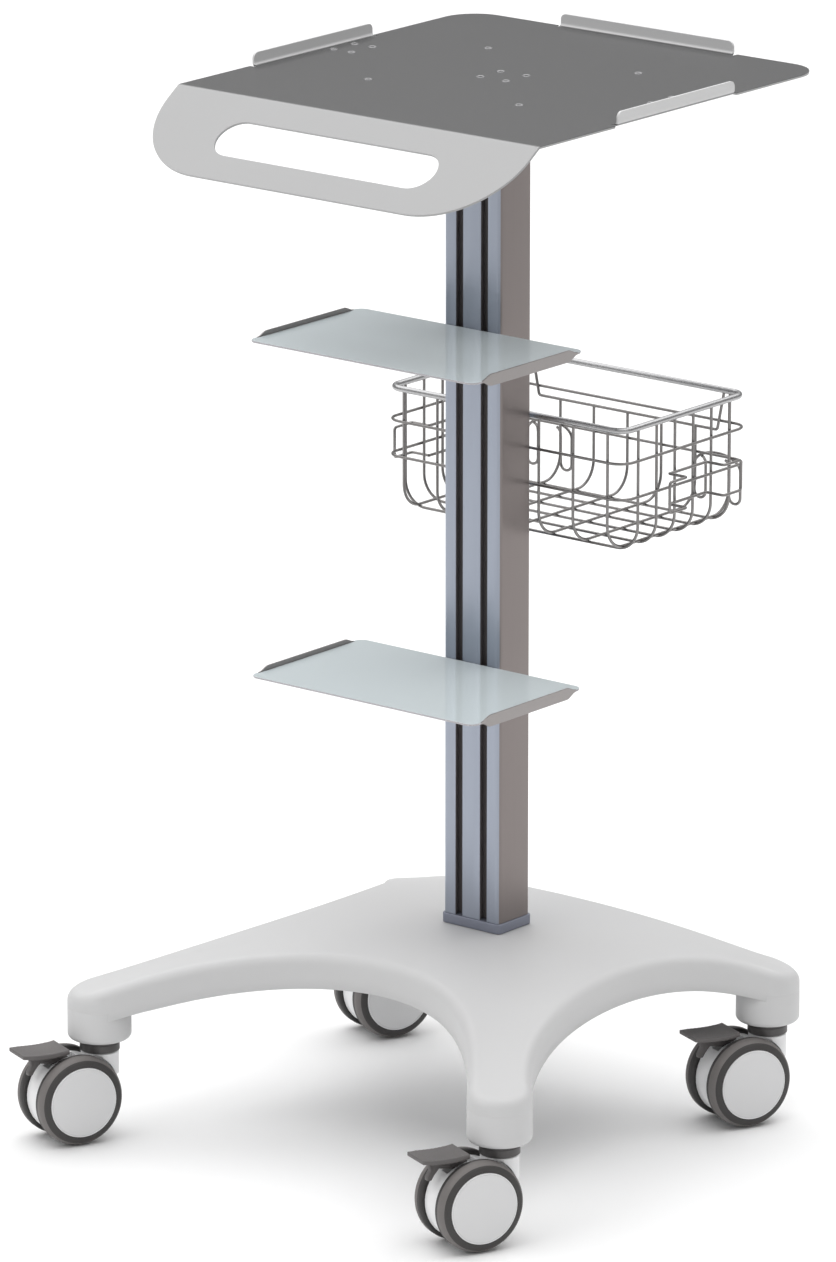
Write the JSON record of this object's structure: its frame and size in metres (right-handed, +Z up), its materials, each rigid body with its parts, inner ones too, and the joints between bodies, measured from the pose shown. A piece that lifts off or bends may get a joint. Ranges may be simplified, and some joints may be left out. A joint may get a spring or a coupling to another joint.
{
  "type": "medical equipment trolley",
  "caption": "Medical equipment trolley: moulded star base on braked twin-wheel casters, slotted column, shelves, wire basket and a platform with a handle.",
  "frame": {"origin": "on the floor, at the middle of the whole trolley's footprint", "axes": "+Z up; the handle is at -Y, where the user stands; the basket hangs on the +Y side of the column; +X is to the user's right"},
  "size_m": [0.6587, 0.6962, 1.173],
  "materials": {
    "white_shell": "satin, fine texture",
    "anodised_aluminium": "satin anodised",
    "foot_grey": "satin",
    "platform_paint": "satin powder coat",
    "shelf_gloss": "high gloss",
    "rail_metal": "satin",
    "zinc_steel": "zinc plated",
    "basket_wire": "bright nickel plated",
    "tyre_grey": "matt grey, non-marking",
    "caster_white": "satin",
    "pedal_grey": "matt"
  },
  "bodies": {
    "frame": {"base_cover": "white_shell", "base_frame": "zinc_steel", "column_foot": "foot_grey", "column_tie_bolt": "zinc_steel", "column": "anodised_aluminium", "column_head_plate": "zinc_steel", "platform": "platform_paint", "front_right_caster_stem": "zinc_steel", "front_right_caster_collar": "pedal_grey", "front_left_caster_stem": "zinc_steel", "front_left_caster_collar": "pedal_grey", "back_right_caster_stem": "zinc_steel", "back_right_caster_collar": "pedal_grey", "back_left_caster_stem": "zinc_steel", "back_left_caster_collar": "pedal_grey"},
    "upper_shelf": {"upper_shelf_plate": "shelf_gloss", "upper_shelf_rail_left": "rail_metal", "upper_shelf_rail_right": "rail_metal", "upper_shelf_bracket": "zinc_steel"},
    "lower_shelf": {"lower_shelf_plate": "shelf_gloss", "lower_shelf_rail_left": "rail_metal", "lower_shelf_rail_right": "rail_metal", "lower_shelf_bracket": "zinc_steel"},
    "basket": {"basket_rim": "basket_wire", "basket_front_wires": "basket_wire", "basket_back_wires": "basket_wire", "basket_left_wires": "basket_wire", "basket_right_wires": "basket_wire", "basket_floor_wires": "basket_wire", "basket_bracket": "zinc_steel"},
    "front_right_caster": {"front_right_caster_housing": "caster_white", "front_right_caster_axle": "zinc_steel"},
    "front_right_brake_pedal": {"front_right_brake_pedal": "pedal_grey"},
    "front_right_inner_wheel": {"front_right_inner_tyre": "tyre_grey", "front_right_inner_wheel_hub": "caster_white"},
    "front_right_outer_wheel": {"front_right_outer_tyre": "tyre_grey", "front_right_outer_wheel_hub": "caster_white"},
    "front_left_caster": {"front_left_caster_housing": "caster_white", "front_left_caster_axle": "zinc_steel"},
    "front_left_brake_pedal": {"front_left_brake_pedal": "pedal_grey"},
    "front_left_inner_wheel": {"front_left_inner_tyre": "tyre_grey", "front_left_inner_wheel_hub": "caster_white"},
    "front_left_outer_wheel": {"front_left_outer_tyre": "tyre_grey", "front_left_outer_wheel_hub": "caster_white"},
    "back_right_caster": {"back_right_caster_housing": "caster_white", "back_right_caster_axle": "zinc_steel"},
    "back_right_brake_pedal": {"back_right_brake_pedal": "pedal_grey"},
    "back_right_inner_wheel": {"back_right_inner_tyre": "tyre_grey", "back_right_inner_wheel_hub": "caster_white"},
    "back_right_outer_wheel": {"back_right_outer_tyre": "tyre_grey", "back_right_outer_wheel_hub": "caster_white"},
    "back_left_caster": {"back_left_caster_housing": "caster_white", "back_left_caster_axle": "zinc_steel"},
    "back_left_brake_pedal": {"back_left_brake_pedal": "pedal_grey"},
    "back_left_inner_wheel": {"back_left_inner_tyre": "tyre_grey", "back_left_inner_wheel_hub": "caster_white"},
    "back_left_outer_wheel": {"back_left_outer_tyre": "tyre_grey", "back_left_outer_wheel_hub": "caster_white"}
  },
  "joints": [
    {"name": "upper_shelf_height", "type": "slide", "parent": "frame", "child": "upper_shelf", "axis": [0, 0, 1], "range_m": [-0.1, 0.11]},
    {"name": "lower_shelf_height", "type": "slide", "parent": "frame", "child": "lower_shelf", "axis": [0, 0, 1], "range_m": [-0.2, 0.12]},
    {"name": "basket_height", "type": "slide", "parent": "frame", "child": "basket", "axis": [0, 0, 1], "range_m": [-0.25, 0.14]},
    {"name": "front_right_caster_swivel", "type": "hinge", "parent": "frame", "child": "front_right_caster", "pos_m": [0.2935, -0.2524, 0.09], "axis": [0, 0, 1], "continuous": true},
    {"name": "front_right_inner_wheel_spin", "type": "hinge", "parent": "front_right_caster", "child": "front_right_inner_wheel", "pos_m": [0.27904, -0.28646, 0.05], "axis": [0.9205, -0.3907, 0], "continuous": true},
    {"name": "front_right_outer_wheel_spin", "type": "hinge", "parent": "front_right_caster", "child": "front_right_outer_wheel", "pos_m": [0.27904, -0.28646, 0.05], "axis": [0.9205, -0.3907, 0], "continuous": true},
    {"name": "front_right_brake_pedal_tilt", "type": "hinge", "parent": "front_right_caster", "child": "front_right_brake_pedal", "pos_m": [0.27787, -0.28922, 0.084], "axis": [0.9205, -0.3907, 0], "range_deg": [0, 7]},
    {"name": "front_left_caster_swivel", "type": "hinge", "parent": "frame", "child": "front_left_caster", "pos_m": [-0.2645, -0.2524, 0.09], "axis": [0, 0, 1], "continuous": true},
    {"name": "front_left_inner_wheel_spin", "type": "hinge", "parent": "front_left_caster", "child": "front_left_inner_wheel", "pos_m": [-0.27896, -0.28646, 0.05], "axis": [0.9205, -0.3907, 0], "continuous": true},
    {"name": "front_left_outer_wheel_spin", "type": "hinge", "parent": "front_left_caster", "child": "front_left_outer_wheel", "pos_m": [-0.27896, -0.28646, 0.05], "axis": [0.9205, -0.3907, 0], "continuous": true},
    {"name": "front_left_brake_pedal_tilt", "type": "hinge", "parent": "front_left_caster", "child": "front_left_brake_pedal", "pos_m": [-0.28013, -0.28922, 0.084], "axis": [0.9205, -0.3907, 0], "range_deg": [0, 7]},
    {"name": "back_right_caster_swivel", "type": "hinge", "parent": "frame", "child": "back_right_caster", "pos_m": [0.265, 0.2556, 0.09], "axis": [0, 0, 1], "continuous": true},
    {"name": "back_right_inner_wheel_spin", "type": "hinge", "parent": "back_right_caster", "child": "back_right_inner_wheel", "pos_m": [0.25054, 0.22154, 0.05], "axis": [0.9205, -0.3907, 0], "continuous": true},
    {"name": "back_right_outer_wheel_spin", "type": "hinge", "parent": "back_right_caster", "child": "back_right_outer_wheel", "pos_m": [0.25054, 0.22154, 0.05], "axis": [0.9205, -0.3907, 0], "continuous": true},
    {"name": "back_right_brake_pedal_tilt", "type": "hinge", "parent": "back_right_caster", "child": "back_right_brake_pedal", "pos_m": [0.24937, 0.21878, 0.084], "axis": [0.9205, -0.3907, 0], "range_deg": [0, 7]},
    {"name": "back_left_caster_swivel", "type": "hinge", "parent": "frame", "child": "back_left_caster", "pos_m": [-0.236, 0.2556, 0.09], "axis": [0, 0, 1], "continuous": true},
    {"name": "back_left_inner_wheel_spin", "type": "hinge", "parent": "back_left_caster", "child": "back_left_inner_wheel", "pos_m": [-0.25046, 0.22154, 0.05], "axis": [0.9205, -0.3907, 0], "continuous": true},
    {"name": "back_left_outer_wheel_spin", "type": "hinge", "parent": "back_left_caster", "child": "back_left_outer_wheel", "pos_m": [-0.25046, 0.22154, 0.05], "axis": [0.9205, -0.3907, 0], "continuous": true},
    {"name": "back_left_brake_pedal_tilt", "type": "hinge", "parent": "back_left_caster", "child": "back_left_brake_pedal", "pos_m": [-0.25163, 0.21878, 0.084], "axis": [0.9205, -0.3907, 0], "range_deg": [0, 7]}
  ]
}
